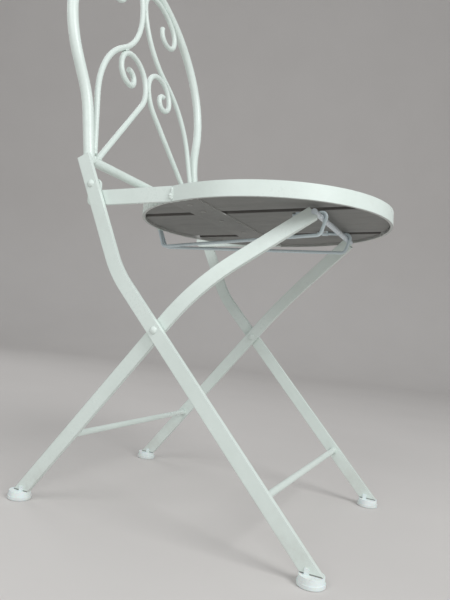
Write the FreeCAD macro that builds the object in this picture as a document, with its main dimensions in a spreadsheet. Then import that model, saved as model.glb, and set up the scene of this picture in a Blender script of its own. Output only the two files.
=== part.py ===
import FreeCAD, Part
import math
import os
import re

import Sketcher

Vector = FreeCAD.Vector
Rotation = FreeCAD.Rotation

# Driving sizes of the chair, in millimetres and degrees.
# Back is +Y, up is +Z, and the sitter's right hand is on the -X side.
SIZES = {
    # Crossed legs of flat bar, seen from the side
    "frame_half": 185,
    "bar_wide": 19,
    "bar_thick": 7,
    "pivot_y": 19.3,
    "pivot_z": 260,
    "front_slope": 46.4,
    "rear_slope": 52.3,
    "front_knee": 99,
    "front_knee_turn": 17.8,
    "front_knee_radius": 150,
    "knee_to_hinge": 134,
    "hinge_to_top": 45,
    "rear_knee": 80,
    "rear_knee_radius": 300,
    "foot_seat_z": 5.4,
    "foot_floor": 3,
    # Round bars across the legs
    "rod_dia": 9,
    "front_stretcher_at": 247,
    "rear_stretcher_at": 200,
    # Rivets and washers of the four turning joints
    "rivet_dia": 6,
    "rivet_head_dia": 11,
    "rivet_shoulder_dia": 9,
    "rivet_crown_dia": 4.5,
    "rivet_shoulder": 1.8,
    "rivet_dome": 3.2,
    "rivet_tail": 2,
    "washer_dia": 16,
    "washer_thick": 1.5,
    "turn_play": 0.05,
    "face_play": 0.05,
    "weld_gap": 0.04,
    # Plastic foot caps
    "cup_wall": 5.5,
    "cup_flare": 1,
    "cap_rim": 2,
    "cap_flange": 5,
    "cap_edge": 1,
    "cap_tall": 12,
    "front_cap_axis": 12.5,
    "rear_cap_axis": 8,
    "tongue_wide": 6,
    "tongue_thick": 2,
    "tongue_tall": 7,
    "tongue_in": 5,
    # Backrest arch of round tube, in its own leaning plane
    "back_lean": 9.7,
    "arch_dia": 16,
    "arch_tail": 8,
    "arch_straight": 76,
    "arch_splay": 21.3,
    "arch_splay_radius": 130,
    "arch_swell": 31,
    "arch_side_radius": 167,
    "arch_side_turn": 26.4,
    "cross_dia": 14,
    "cross_drop": 2,
    # Bent rods of the backrest, their radii drawn for a backrest of this half width
    "drawn_half": 170,
    "outer_foot": 10,
    "outer_lean": 6.7,
    "outer_sweep": 150,
    "outer_slope": 58,
    "outer_lift": 126,
    "outer_crown": 39,
    "outer_over": 3.8,
    "outer_bow": 75,
    "outer_bow_turn": 50,
    "outer_curl": 27,
    "outer_curl_turn": 150,
    "outer_tip": 18,
    "outer_tip_turn": 100,
    "foot_apart": 1,
    "inner_lift": 56,
    "inner_crown": 40,
    "inner_curl": 34,
    "inner_belly": 23,
    "inner_tip": 13,
    "inner_tip_turn": 190,
    # Round seat, in the seat's own tilted frame at its hinge
    "seat_tilt": 3.2,
    "seat_below": 7.8,
    "ring_over": 13.1,
    "ring_back": 5.3,
    "ring_thick": 4,
    "ring_tall": 21,
    "board_sunk": 3.4,
    "board_thick": 14,
    "board_play": 0.06,
    "slit_off": 9,
    "slit_wide": 13,
    "strap_behind": 55.5,
    "strap_wide": 45,
    "strap_thick": 2,
    "arm_thick": 5,
    "ear_radius": 10,
    "arm_corner": 8,
    # Slide rod of the rear legs and the two wire rails that it runs in
    "slide_dia": 8,
    "slide_tuck": 77.5,
    "slide_end": 5,
    "slide_ahead": 107.7,
    "slide_seat": 3,
    "slide_play": 0.3,
    "rail_dia": 5,
    "rail_tuck": 34,
    "rail_lead": 45,
    "rail_rake": 20,
    "rail_depth": 50.4,
    "rail_bend": 8,
    "heel_apart": 0.2,
}

doc = FreeCAD.newDocument("metal_folding_chair")
sheet = doc.addObject("Spreadsheet::Sheet", "Sizes")
for row, (alias, value) in enumerate(SIZES.items(), start=1):
    sheet.set(f"A{row}", alias)
    sheet.set(f"B{row}", str(value))
    sheet.setAlias(f"B{row}", alias)
doc.recompute()

nodes = {}
worked = doc.addObject("App::VarSet", "Worked")


# Formulas are written with the names of the sizes and bound to where these are kept
def kept(word):
    if word[0] in SIZES:
        return f"Sizes.{word[0]}"
    return f"Worked.{word[0]}" if word[0] in worked.PropertiesList else word[0]


def cells(formula):
    return re.sub(r"[a-z]\w*", kept, str(formula))


def work_out(name, formula):
    """A size or place that follows from the driving sizes, kept under a name of its own."""
    worked.addProperty("App::PropertyFloat", name)
    worked.setExpression(name, cells(formula))
    worked.recompute()
    return name


def number(formula):
    return float(sheet.evalExpression(cells(formula)))


def bind(item, name, formula):
    item.setExpression(name, cells(formula))


def finish(item, label):
    item.Label = label
    nodes[label] = item


def put(item, x, y, z, rotation):
    item.Placement = FreeCAD.Placement(Vector(number(x), number(y), number(z)), rotation)
    for axis, formula in zip("xyz", (x, y, z)):
        bind(item, f"Placement.Base.{axis}", formula)


def axes(across, along):
    return Rotation(across, along, across.cross(along), "YXZ")


# Sketches
def sketch_on(body, role, name):
    plane = next(feature for feature in body.Origin.OriginFeatures if feature.Role == role)
    sketch = body.newObject("Sketcher::SketchObject", name)
    sketch.AttachmentSupport = (plane, "")
    sketch.MapMode = "FlatFace"
    return sketch


def constrain(sketch, kind, target, formula):
    value = number(formula)
    if kind == "Angle":
        value = math.radians(value)
    index = sketch.addConstraint(Sketcher.Constraint(kind, *target, value))
    unit = " * 1 deg" if kind == "Angle" else " * 1 mm"
    sketch.setExpression(f"Constraints[{index}]", f"({cells(formula)}){unit}")


def draw_path(sketch, steps):
    """Straight runs and tangent bends, drawn from the origin along +Y."""
    place = Vector(0, 0, 0)
    heading = math.radians(90)
    joints = []
    sizes = []
    for index, step in enumerate(steps):
        if step[0] == "run":
            length = number(step[1])
            end = place + Vector(math.cos(heading), math.sin(heading), 0) * length
            sketch.addGeometry(Part.LineSegment(place, end))
            joints.append((1, 2))
            sizes.append(("Distance", (index,), step[1]))
        else:
            radius, turn = number(step[1]), math.radians(number(step[2]))
            side = 1 if step[0] == "left" else -1
            toward = heading + side * math.pi / 2
            centre = place + Vector(math.cos(toward), math.sin(toward), 0) * radius
            first = toward + math.pi
            last = first + side * turn
            circle = Part.Circle(centre, Vector(0, 0, 1), radius)
            sketch.addGeometry(Part.ArcOfCircle(circle, min(first, last), max(first, last)))
            joints.append((1, 2) if side > 0 else (2, 1))
            sizes.append(("Radius", (index,), step[1]))
            sizes.append(("Angle", (index,), step[2]))
            heading += side * turn
            end = centre + Vector(math.cos(last), math.sin(last), 0) * radius
        place = end
    sketch.addConstraint(Sketcher.Constraint("Coincident", 0, 1, -1, 1))
    sketch.addConstraint(Sketcher.Constraint("Vertical", 0))
    for index in range(1, len(steps)):
        ends = (index - 1, joints[index - 1][1], index, joints[index][0])
        sketch.addConstraint(Sketcher.Constraint("Tangent", *ends))
    for kind, target, formula in sizes:
        constrain(sketch, kind, target, formula)


def draw_round(sketch, diameter):
    sketch.addGeometry(Part.Circle(Vector(0, 0, 0), Vector(0, 0, 1), number(diameter) / 2))
    sketch.addConstraint(Sketcher.Constraint("Coincident", 0, 3, -1, 1))
    constrain(sketch, "Diameter", (0,), diameter)


def draw_bar(sketch, wide, high):
    half = Vector(number(wide) / 2, number(high) / 2, 0)
    corners = [Vector(x * half.x, y * half.y, 0) for x, y in ((-1, -1), (1, -1), (1, 1), (-1, 1))]
    for index in range(4):
        sketch.addGeometry(Part.LineSegment(corners[index], corners[(index + 1) % 4]))
    for index in range(4):
        sketch.addConstraint(Sketcher.Constraint("Coincident", index, 2, (index + 1) % 4, 1))
        sketch.addConstraint(Sketcher.Constraint(("Horizontal", "Vertical")[index % 2], index))
    sketch.addConstraint(Sketcher.Constraint("Symmetric", 0, 1, 2, 1, -1, 1))
    constrain(sketch, "DistanceX", (0, 1, 0, 2), wide)
    constrain(sketch, "DistanceY", (1, 1, 1, 2), high)


def draw_outline(sketch, corners):
    """A closed outline. Each corner is (x, y), and (x, y, radius) ends an arc that turns left."""
    places = [Vector(number(corner[0]), number(corner[1]), 0) for corner in corners]
    count = len(corners)
    for index in range(count):
        start, end = places[index], places[(index + 1) % count]
        radius = corners[(index + 1) % count][2:]
        if radius:
            chord = end - start
            rise = max(number(radius[0]) ** 2 - (chord.Length / 2) ** 2, 0)
            middle = (start + end) / 2 + Vector(-chord.y, chord.x, 0).normalize() * math.sqrt(rise)
            circle = Part.Circle(middle, Vector(0, 0, 1), number(radius[0]))
            first = math.atan2(start.y - middle.y, start.x - middle.x)
            last = math.atan2(end.y - middle.y, end.x - middle.x)
            sketch.addGeometry(Part.ArcOfCircle(circle, first, last if last > first else last + 2 * math.pi))
        else:
            sketch.addGeometry(Part.LineSegment(start, end))
    for index in range(count):
        sketch.addConstraint(Sketcher.Constraint("Coincident", index, 2, (index + 1) % count, 1))
    for index, corner in enumerate(corners):
        for kind, formula in zip(("DistanceX", "DistanceY"), corner):
            constrain(sketch, kind, (-1, 1, index, 1), formula)
    for index in range(count):
        for radius in corners[(index + 1) % count][2:]:
            constrain(sketch, "Radius", (index,), radius)


# Ways of making a piece
def bent_piece(name, steps, draw_section, *section_sizes, roll=0):
    body = doc.addObject("PartDesign::Body", name)
    path = sketch_on(body, "XY_Plane", f"{name}_path")
    draw_path(path, steps)
    section = sketch_on(body, "XZ_Plane", f"{name}_section")
    section.AttachmentOffset = FreeCAD.Placement(Vector(0, 0, 0), Rotation(Vector(0, 0, 1), roll))
    draw_section(section, *section_sizes)
    sweep = body.newObject("PartDesign::AdditivePipe", f"{name}_sweep")
    sweep.Profile = section
    sweep.Spine = (path, [f"Edge{index + 1}" for index in range(len(steps))])
    return body


def padded_piece(name, corners, thick):
    body = doc.addObject("PartDesign::Body", name)
    sketch = sketch_on(body, "YZ_Plane", f"{name}_outline")
    draw_outline(sketch, corners)
    pad = body.newObject("PartDesign::Pad", f"{name}_pad")
    pad.Profile = sketch
    bind(pad, "Length", thick)
    return body


def turned_piece(name, corners):
    """A piece turned about its own Z axis from an outline of (radius, height)."""
    body = doc.addObject("PartDesign::Body", name)
    sketch = sketch_on(body, "XZ_Plane", f"{name}_outline")
    draw_outline(sketch, corners)
    turned = body.newObject("PartDesign::Revolution", f"{name}_turned")
    turned.Profile = sketch
    turned.ReferenceAxis = (sketch, ["V_Axis"])
    turned.Angle = 360
    return body


def cylinder(name, radius, height):
    item = doc.addObject("Part::Cylinder", name)
    bind(item, "Radius", radius)
    bind(item, "Height", height)
    return item


def block(name, length, width, height):
    item = doc.addObject("Part::Box", name)
    bind(item, "Length", length)
    bind(item, "Width", width)
    bind(item, "Height", height)
    return item


def joined(kind, name, base, tool):
    item = doc.addObject(f"Part::{kind}", name)
    item.Base = base
    item.Tool = tool
    return item


ALONG_X = Rotation(Vector(0, 1, 0), 90)


def drilled(name, piece, radius, x, y, z, length):
    """A round hole along X, from x - length / 2 to x + length / 2."""
    drill = cylinder(f"{name}_drill", radius, length)
    put(drill, f"{x} - ({length}) / 2", y, z, ALONG_X)
    return joined("Cut", f"{name}_drilled", piece, drill)


def snipped(name, piece, x, y, height):
    """A piece cut off level, below a height."""
    under = block(f"{name}_under", "4 * bar_wide", "4 * bar_wide", "2 * bar_wide")
    put(under, f"{x} - 2 * bar_wide", f"{y} - 2 * bar_wide", f"{height} - 2 * bar_wide", Rotation())
    return joined("Cut", f"{name}_snipped", piece, under)


# Places that several pieces share
SIDES = (("right", -1), ("left", 1))

work_out("front_mid", "frame_half - bar_thick / 2")
work_out("front_inner", "frame_half - bar_thick")
work_out("inner_outer", "front_inner - washer_thick - 2 * face_play")
work_out("rear_mid", "inner_outer - bar_thick / 2")
work_out("rear_inner", "inner_outer - bar_thick")

work_out("upper_slope", "front_slope + front_knee_turn")
work_out("hinge_y", "pivot_y + front_knee * cos(front_slope) + knee_to_hinge * cos(upper_slope)")
work_out("hinge_z", "pivot_z + front_knee * sin(front_slope) + knee_to_hinge * sin(upper_slope)")
work_out("leg_top_y", "hinge_y + hinge_to_top * cos(upper_slope)")
work_out("leg_top_z", "hinge_z + hinge_to_top * sin(upper_slope)")


def on_seat(forward, down):
    """A point of the seat's tilted frame, measured from the hinge axis."""
    y = f"(hinge_y - ({forward}) * cos(seat_tilt) - ({down}) * sin(seat_tilt))"
    z = f"(hinge_z + ({forward}) * sin(seat_tilt) - ({down}) * cos(seat_tilt))"
    return y, z


def on_back(up):
    """A point up the backrest's leaning plane, from the tops of the front legs."""
    return f"(leg_top_y + ({up}) * sin(back_lean))", f"(leg_top_z + ({up}) * cos(back_lean))"


tilt = math.radians(number("seat_tilt"))
lean = math.radians(number("back_lean"))
SEAT = Rotation(Vector(1, 0, 0), -number("seat_tilt"))
FORWARD = Vector(0, -math.cos(tilt), math.sin(tilt))
DOWN = Vector(0, -math.sin(tilt), -math.cos(tilt))
ACROSS = Vector(1, 0, 0)
UP_BACK = Vector(0, math.sin(lean), math.cos(lean))

work_out("ring_radius", "inner_outer + ring_over")
work_out("seat_reach", "ring_radius + ring_back")
work_out("board_under", "board_sunk + board_thick")
work_out("wire_centre", "board_under + weld_gap + rail_dia / 2")
work_out("slide_reach", "seat_reach + slide_ahead")
work_out("slide_half", "ring_radius - slide_tuck")
work_out("rail_at", "slide_half - rail_tuck")
work_out("heel_x", "(rail_dia + heel_apart) / 2")
work_out("heel_reach", "seat_reach - sqrt((ring_radius - ring_thick / 2) ^ 2 - heel_x ^ 2)")
work_out("rail_span", "sqrt((rail_at - heel_x) ^ 2 + (slide_reach - heel_reach) ^ 2)")
work_out("rail_toe", "asin((rail_at - heel_x) / rail_span) / 1 deg")
work_out("slide_wrap", "(slide_dia / 2 + slide_play + rail_dia / 2) / cos(rail_toe)")
work_out("slide_drop", "seat_below + wire_centre + slide_wrap")
slide_y, slide_z = on_seat("slide_reach", "slide_drop")


# Front legs: flat bar bent on edge at a knee below the seat
front_foot_run = "((pivot_z - foot_seat_z) / sin(front_slope))"
front_tangent = "(front_knee_radius * tan(front_knee_turn / 2))"
front_start_y = "(pivot_y - (pivot_z - foot_seat_z) / tan(front_slope))"
slope = math.radians(number("front_slope"))
front_axes = axes(Vector(0, math.sin(slope), -math.cos(slope)), Vector(0, math.cos(slope), math.sin(slope)))
for side, sign in SIDES:
    name = f"front_leg_{side}"
    leg = bent_piece(
        name,
        (
            ("run", f"{front_foot_run} + front_knee - {front_tangent}"),
            ("left", "front_knee_radius", "front_knee_turn"),
            ("run", f"knee_to_hinge + hinge_to_top - {front_tangent}"),
        ),
        draw_bar,
        "bar_wide",
        "bar_thick",
    )
    put(leg, f"{sign} * front_mid", front_start_y, "foot_seat_z", front_axes)
    leg = snipped(name, leg, f"{sign} * front_mid", front_start_y, "foot_floor")
    bore = "rivet_dia / 2 + weld_gap / 2"
    leg = drilled(f"{name}_pivot", leg, bore, f"{sign} * front_mid", "pivot_y", "pivot_z", "2 * bar_thick")
    leg = drilled(f"{name}_hinge", leg, bore, f"{sign} * front_mid", "hinge_y", "hinge_z", "2 * bar_thick")
    finish(leg, name)

# Rear legs: the same bar inside the front legs, bent forward and inward to the slide rod
rear_foot_run = "((pivot_z - foot_seat_z) / sin(rear_slope))"
rear_start_y = "(pivot_y + (pivot_z - foot_seat_z) / tan(rear_slope))"
knee_y = "(pivot_y - rear_knee * cos(rear_slope))"
knee_z = "(pivot_z + rear_knee * sin(rear_slope))"
slope = math.radians(number("rear_slope"))
lower_way = Vector(0, -math.cos(slope), math.sin(slope))
rear_mid_run = f"sqrt((rear_mid - slide_half) ^ 2 + ({knee_y} - {slide_y}) ^ 2 + ({slide_z} - {knee_z}) ^ 2)"
for side, sign in SIDES:
    name = f"rear_leg_{side}"
    knee = Vector(sign * number("rear_mid"), number(knee_y), number(knee_z))
    top = Vector(sign * number("slide_half"), number(slide_y), number(slide_z))
    upper_way = (top - knee).normalize()
    bend_way = (upper_way - lower_way * upper_way.dot(lower_way)).normalize()
    rear_axes = axes(bend_way, lower_way)
    turn = math.degrees(lower_way.getAngle(upper_way))
    roll = math.degrees(math.atan2(ACROSS.dot(bend_way.cross(lower_way)), ACROSS.dot(bend_way)))
    rear_tangent = f"(rear_knee_radius * tan({turn} / 2))"
    leg = bent_piece(
        name,
        (
            ("run", f"{rear_foot_run} + rear_knee - {rear_tangent}"),
            ("right", "rear_knee_radius", turn),
            ("run", f"{rear_mid_run} - {rear_tangent} - slide_seat"),
        ),
        draw_bar,
        "bar_thick",
        "bar_wide",
        roll=roll,
    )
    put(leg, f"{sign} * rear_mid", rear_start_y, "foot_seat_z", rear_axes)
    leg = snipped(name, leg, f"{sign} * rear_mid", rear_start_y, "foot_floor")
    bore = "rivet_dia / 2 + turn_play"
    leg = drilled(f"{name}_pivot", leg, bore, f"{sign} * rear_mid", "pivot_y", "pivot_z", "2 * bar_thick")
    saddle = "slide_dia / 2 + weld_gap"
    leg = drilled(f"{name}_saddle", leg, saddle, f"{sign} * slide_half", slide_y, slide_z, "6 * bar_thick")
    finish(leg, name)

# Round bars across the frame: two stretchers and the slide rod under the seat
stretchers = {
    "front_stretcher": ("front_inner", "-1", "front_slope", "front_stretcher_at"),
    "rear_stretcher": ("rear_inner", "1", "rear_slope", "rear_stretcher_at"),
}
for name, (reach, way, leg_slope, at) in stretchers.items():
    rod = cylinder(name, "rod_dia / 2", f"2 * {reach} - 2 * weld_gap")
    y = f"pivot_y + {way} * {at} * cos({leg_slope})"
    put(rod, f"weld_gap - {reach}", y, f"pivot_z - {at} * sin({leg_slope})", ALONG_X)
    finish(rod, name)
rod = cylinder("slide_rod", "slide_dia / 2", "2 * (slide_half + slide_end)")
put(rod, "-(slide_half + slide_end)", slide_y, slide_z, ALONG_X)
finish(rod, "slide_rod")


# Foot caps: a turned plastic cup on a flange, slotted for the bar, with a tongue on each face of it
work_out("cup_top_dia", "bar_wide + 2 * cup_wall")
work_out("cup_dia", "cup_top_dia + cup_flare")
work_out("cap_dia", "cup_dia + cap_rim")


def foot_cap(name, sign, mid, way, leg_slope, axis_z, start_y):
    y = f"(pivot_y + {way} * (pivot_z - {axis_z}) / tan({leg_slope}))"
    cup = turned_piece(
        f"{name}_cup",
        (
            ("0", "0"),
            ("cap_dia / 2 - cap_edge", "0"),
            ("cap_dia / 2", "cap_edge"),
            ("cap_dia / 2", "cap_flange"),
            ("cup_dia / 2", "cap_flange"),
            ("cup_top_dia / 2", "cap_tall"),
            ("0", "cap_tall"),
        ),
    )
    put(cup, f"{sign} * {mid}", y, "0", Rotation())
    for face in (-1, 1):
        tongue = block(f"{name}_tongue", "tongue_thick", "tongue_wide", "cap_tall / 2 + tongue_tall")
        shift = f"{face} * (bar_thick / 2 + face_play + tongue_thick / 2) - tongue_thick / 2"
        tongue_y = f"{y} - {way} * tongue_in - tongue_wide / 2"
        put(tongue, f"{sign} * {mid} + {shift}", tongue_y, "cap_tall / 2", Rotation())
        cup = joined("Fuse", f"{name}_with_tongue", cup, tongue)
    slot = block(f"{name}_slot", "bar_thick + 2 * face_play", "bar_wide + 2 * face_play", "3 * cap_dia")
    angle = number(leg_slope)
    rise = Rotation(Vector(1, 0, 0), angle - 90 if way == "-1" else 90 - angle)
    put(
        slot,
        f"{sign} * {mid} - bar_thick / 2 - face_play",
        f"{start_y} - (bar_wide / 2 + face_play) * sin({leg_slope})",
        f"foot_seat_z - {way} * (bar_wide / 2 + face_play) * cos({leg_slope})",
        rise,
    )
    slot = snipped(name, slot, f"{sign} * {mid}", start_y, "foot_floor - face_play")
    finish(joined("Cut", f"{name}_slotted", cup, slot), name)


for side, sign in SIDES:
    foot_cap(f"front_foot_{side}", sign, "front_mid", "-1", "front_slope", "front_cap_axis", front_start_y)
    foot_cap(f"rear_foot_{side}", sign, "rear_mid", "1", "rear_slope", "rear_cap_axis", rear_start_y)


# Rivets with a domed outer head and a flat clenched tail, and the washers that keep the bars apart
def rivet(name, sign, inner_thick, y, z):
    grip = f"(bar_thick + washer_thick + {inner_thick} + 4 * face_play)"
    pin = turned_piece(
        f"{name}_pin",
        (
            ("0", "-rivet_tail"),
            ("rivet_head_dia / 2", "-rivet_tail"),
            ("rivet_head_dia / 2", "0"),
            ("rivet_dia / 2", "0"),
            ("rivet_dia / 2", grip),
            ("rivet_head_dia / 2", grip),
            ("rivet_shoulder_dia / 2", f"{grip} + rivet_shoulder"),
            ("rivet_crown_dia / 2", f"{grip} + rivet_dome"),
            ("0", f"{grip} + rivet_dome"),
        ),
    )
    turn = Rotation(Vector(0, 1, 0), 90 * sign)
    put(pin, f"{sign} * (frame_half + face_play - {grip})", y, z, turn)
    finish(pin, name)


def washer(name, sign, y, z):
    disc = cylinder(f"{name}_disc", "washer_dia / 2", "washer_thick")
    x = "(front_inner - face_play - washer_thick / 2)"
    put(disc, f"{sign} * {x} - washer_thick / 2", y, z, ALONG_X)
    finish(drilled(name, disc, "rivet_dia / 2 + turn_play", f"{sign} * {x}", y, z, "4 * washer_thick"), name)


for side, sign in SIDES:
    rivet(f"pivot_rivet_{side}", sign, "bar_thick", "pivot_y", "pivot_z")
    rivet(f"hinge_rivet_{side}", sign, "arm_thick", "hinge_y", "hinge_z")
    washer(f"pivot_washer_{side}", sign, "pivot_y", "pivot_z")
    washer(f"hinge_washer_{side}", sign, "hinge_y", "hinge_z")

# Backrest arch: one round tube, straight at the legs, splayed, then bowed over the top
work_out("arch_half", "front_inner - weld_gap - arch_dia / 2")
work_out("arch_widest", "arch_half + arch_swell")
work_out("splay_bends", "(arch_splay_radius + arch_side_radius) * (1 - cos(arch_splay))")
work_out("splay_run", "(arch_swell - splay_bends) / sin(arch_splay)")
work_out("top_start", "arch_widest - arch_side_radius * (1 - cos(arch_side_turn))")
work_out("top_radius", "top_start / cos(arch_side_turn)")
work_out("side_up", "(arch_splay_radius + arch_side_radius) * sin(arch_splay)")
work_out("widest_up", "arch_straight - arch_tail + side_up + splay_run * cos(arch_splay)")
work_out("top_middle", "widest_up + (arch_side_radius - top_radius) * sin(arch_side_turn)")
arch = bent_piece(
    "back_arch",
    (
        ("run", "arch_straight"),
        ("left", "arch_splay_radius", "arch_splay"),
        ("run", "splay_run"),
        ("right", "arch_side_radius", "arch_splay + arch_side_turn"),
        ("right", "top_radius", "180 - 2 * arch_side_turn"),
        ("right", "arch_side_radius", "arch_splay + arch_side_turn"),
        ("run", "splay_run"),
        ("left", "arch_splay_radius", "arch_splay"),
        ("run", "arch_straight"),
    ),
    draw_round,
    "arch_dia",
)
put(arch, "-arch_half", *on_back("-arch_tail"), axes(ACROSS, UP_BACK))
finish(arch, "back_arch")

# Cross tube at the foot of the arch, its ends hollowed to sit on the uprights
cross = bent_piece(
    "cross_tube",
    (("run", "2 * arch_half"),),
    draw_round,
    "cross_dia",
)
put(cross, "-arch_half", *on_back("-cross_drop"), axes(UP_BACK, ACROSS))
for side, sign in SIDES:
    cope = cylinder(f"cross_cope_{side}", "arch_dia / 2 + weld_gap", "4 * cross_dia")
    cope_rotation = Rotation(Vector(1, 0, 0), -number("back_lean"))
    put(cope, f"{sign} * arch_half", *on_back("-cross_drop - 2 * cross_dia"), cope_rotation)
    cross = joined("Cut", f"cross_coped_{side}", cross, cope)
finish(cross, "back_cross_tube")


# Outer scrolls: up from the upright's foot, in to the middle, then over into a curl welded under the arch
def drawn(radius):
    """A radius of the bent rods, scaled from the drawn half width to the arch's."""
    return work_out(f"{radius}_bent", f"{radius} * arch_half / drawn_half")


work_out("centre_x", "rod_dia / 2 + weld_gap / 2")
work_out("outer_x", "arch_half - arch_dia / 2 - weld_gap - rod_dia / 2")
sweep, lift, crown = drawn("outer_sweep"), drawn("outer_lift"), drawn("outer_crown")
over, bow, curl, tip = drawn("outer_over"), drawn("outer_bow"), drawn("outer_curl"), drawn("outer_tip")
work_out("under_arch", f"top_radius - arch_dia / 2 - weld_gap - rod_dia / 2 - {bow}")
work_out("bow_x", f"centre_x + {crown} + {over}")
work_out("bow_up", "top_middle + sqrt(under_arch ^ 2 - bow_x ^ 2)")
work_out("sweep_in", f"{sweep} * (cos(outer_lean) - cos(outer_slope))")
work_out("sweep_up", f"{sweep} * (sin(outer_slope) - sin(outer_lean))")
work_out("lift_in", f"{lift} * (1 - cos(outer_slope))")
work_out("lift_up", f"{lift} * sin(outer_slope)")
work_out("straight_in", "outer_x - sweep_in - lift_in - centre_x")
work_out("straight_up", f"bow_up + {bow} - {crown} - lift_up - sweep_up - outer_foot")
work_out("bend_sine", "sin(outer_slope - outer_lean)")
rise_part = "straight_up * sin(outer_slope) - straight_in * cos(outer_slope)"
work_out("outer_rise", f"({rise_part}) / bend_sine")
run_part = "straight_in * cos(outer_lean) - straight_up * sin(outer_lean)"
work_out("outer_run", f"({run_part}) / bend_sine")
for side, sign in SIDES:
    name = f"scroll_outer_{side}"
    inward, outward = ("right", "left") if sign < 0 else ("left", "right")
    scroll = bent_piece(
        name,
        (
            ("run", "outer_rise"),
            (inward, sweep, "outer_slope - outer_lean"),
            ("run", "outer_run"),
            (outward, lift, "outer_slope"),
            (outward, crown, "90"),
            ("run", over),
            (outward, bow, "outer_bow_turn"),
            (outward, curl, "outer_curl_turn"),
            (outward, tip, "outer_tip_turn"),
        ),
        draw_round,
        "rod_dia",
    )
    to_middle = Rotation(Vector(0, 0, 1), sign * number("outer_lean"))
    put(scroll, f"{sign} * outer_x", *on_back("outer_foot"), axes(ACROSS, UP_BACK).multiply(to_middle))
    finish(scroll, name)

# Inner scrolls: from the cross tube to the middle, then over and down in a curl below the outer scroll
work_out("turn_x", "outer_x - outer_rise * sin(outer_lean) - sweep_in")
work_out("turn_up", "outer_foot + outer_rise * cos(outer_lean) + sweep_up")
lift, crown, curl = drawn("inner_lift"), drawn("inner_crown"), drawn("inner_curl")
belly, tip = drawn("inner_belly"), drawn("inner_tip")
work_out("curl_x", f"centre_x + {crown}")
work_out("curl_apart", f"{curl} + rod_dia + weld_gap - (turn_x - curl_x) * cos(outer_slope)")
work_out("crown_up", f"turn_up + {curl} - curl_apart / sin(outer_slope) - {crown}")
work_out("foot_low", "outer_foot - rod_dia / 2 * sin(outer_lean)")
work_out("crown_rise", "crown_up - foot_low")
work_out("widest_in", f"outer_x - centre_x - {lift}")
widest_angle = f"atan(widest_in / crown_rise) + asin({lift} / sqrt(widest_in ^ 2 + crown_rise ^ 2))"
work_out("widest_slope", f"({widest_angle}) / 1 deg")
work_out("foot_x", "outer_x - rod_dia / 2 * (1 + 1 / cos(widest_slope)) - foot_apart")
work_out("lift_x", f"foot_x - centre_x - {lift}")
work_out("lift_away", "sqrt(lift_x ^ 2 + crown_rise ^ 2)")
work_out("inner_slope", f"(atan(lift_x / crown_rise) + asin({lift} / lift_away)) / 1 deg")
work_out("tangent_run", f"sqrt(lift_away ^ 2 - {lift} ^ 2)")
work_out("foot_run", "(foot_low + cross_drop) / cos(inner_slope)")
work_out("start_x", "foot_x + foot_run * sin(inner_slope)")
for side, sign in SIDES:
    name = f"scroll_inner_{side}"
    outward = "left" if sign < 0 else "right"
    scroll = bent_piece(
        name,
        (
            ("run", "foot_run + tangent_run"),
            (outward, lift, "inner_slope"),
            (outward, crown, "90"),
            (outward, curl, "90"),
            (outward, belly, "90"),
            (outward, tip, "inner_tip_turn"),
        ),
        draw_round,
        "rod_dia",
    )
    to_middle = Rotation(Vector(0, 0, 1), sign * number("inner_slope"))
    put(scroll, f"{sign} * start_x", *on_back("-cross_drop"), axes(ACROSS, UP_BACK).multiply(to_middle))
    saddle = cylinder(f"{name}_saddle", "cross_dia / 2 + weld_gap", "8 * cross_dia")
    put(saddle, f"{sign} * start_x - 4 * cross_dia", *on_back("-cross_drop"), ALONG_X)
    finish(joined("Cut", f"{name}_coped", scroll, saddle), name)

# Seat ring: flat bar rolled on edge
ring_middle = on_seat("seat_reach", "seat_below + ring_tall")
rim = cylinder("seat_rim", "ring_radius", "ring_tall")
well = cylinder("seat_well", "ring_radius - ring_thick", "ring_tall")
for item in (rim, well):
    put(item, "0", *ring_middle, SEAT)
finish(joined("Cut", "seat_hoop", rim, well), "seat_ring")

# Seat boards: three boards cut to the ring, with a slit between neighbours
board_radius = "(ring_radius - ring_thick - board_play)"
work_out("slit_at", "rail_at + slit_off")
middle_half = "(slit_at - slit_wide / 2)"
outer_edge = "(slit_at + slit_wide / 2)"
boards = {
    "seat_board_right": (f"-{board_radius}", f"{board_radius} - {outer_edge}"),
    "seat_board_middle": (f"-{middle_half}", f"2 * {middle_half}"),
    "seat_board_left": (outer_edge, f"{board_radius} - {outer_edge}"),
}
board_y, board_z = on_seat("seat_reach", "seat_below + board_under")
plank_y, plank_z = on_seat(f"seat_reach + {board_radius}", "seat_below + board_under")
for name, (start, wide) in boards.items():
    disc = cylinder(f"{name}_disc", board_radius, "board_thick")
    put(disc, "0", board_y, board_z, SEAT)
    plank = block(f"{name}_plank", wide, f"2 * {board_radius}", "board_thick")
    put(plank, start, plank_y, plank_z, SEAT)
    finish(joined("Common", f"{name}_cut", disc, plank), name)

# Strap: a flat bar under the boards, welded to the inside of the ring
strap_down = "seat_below + board_under + weld_gap + strap_thick"
strap_disc = cylinder("seat_strap_disc", "ring_radius - ring_thick - weld_gap", "strap_thick")
put(strap_disc, "0", *on_seat("seat_reach", strap_down), SEAT)
strap_bar = block("seat_strap_bar", "2 * ring_radius", "strap_wide", "strap_thick")
put(strap_bar, "-ring_radius", *on_seat("seat_reach - strap_behind + strap_wide / 2", strap_down), SEAT)
finish(joined("Common", "seat_strap_cut", strap_disc, strap_bar), "seat_strap")

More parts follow.
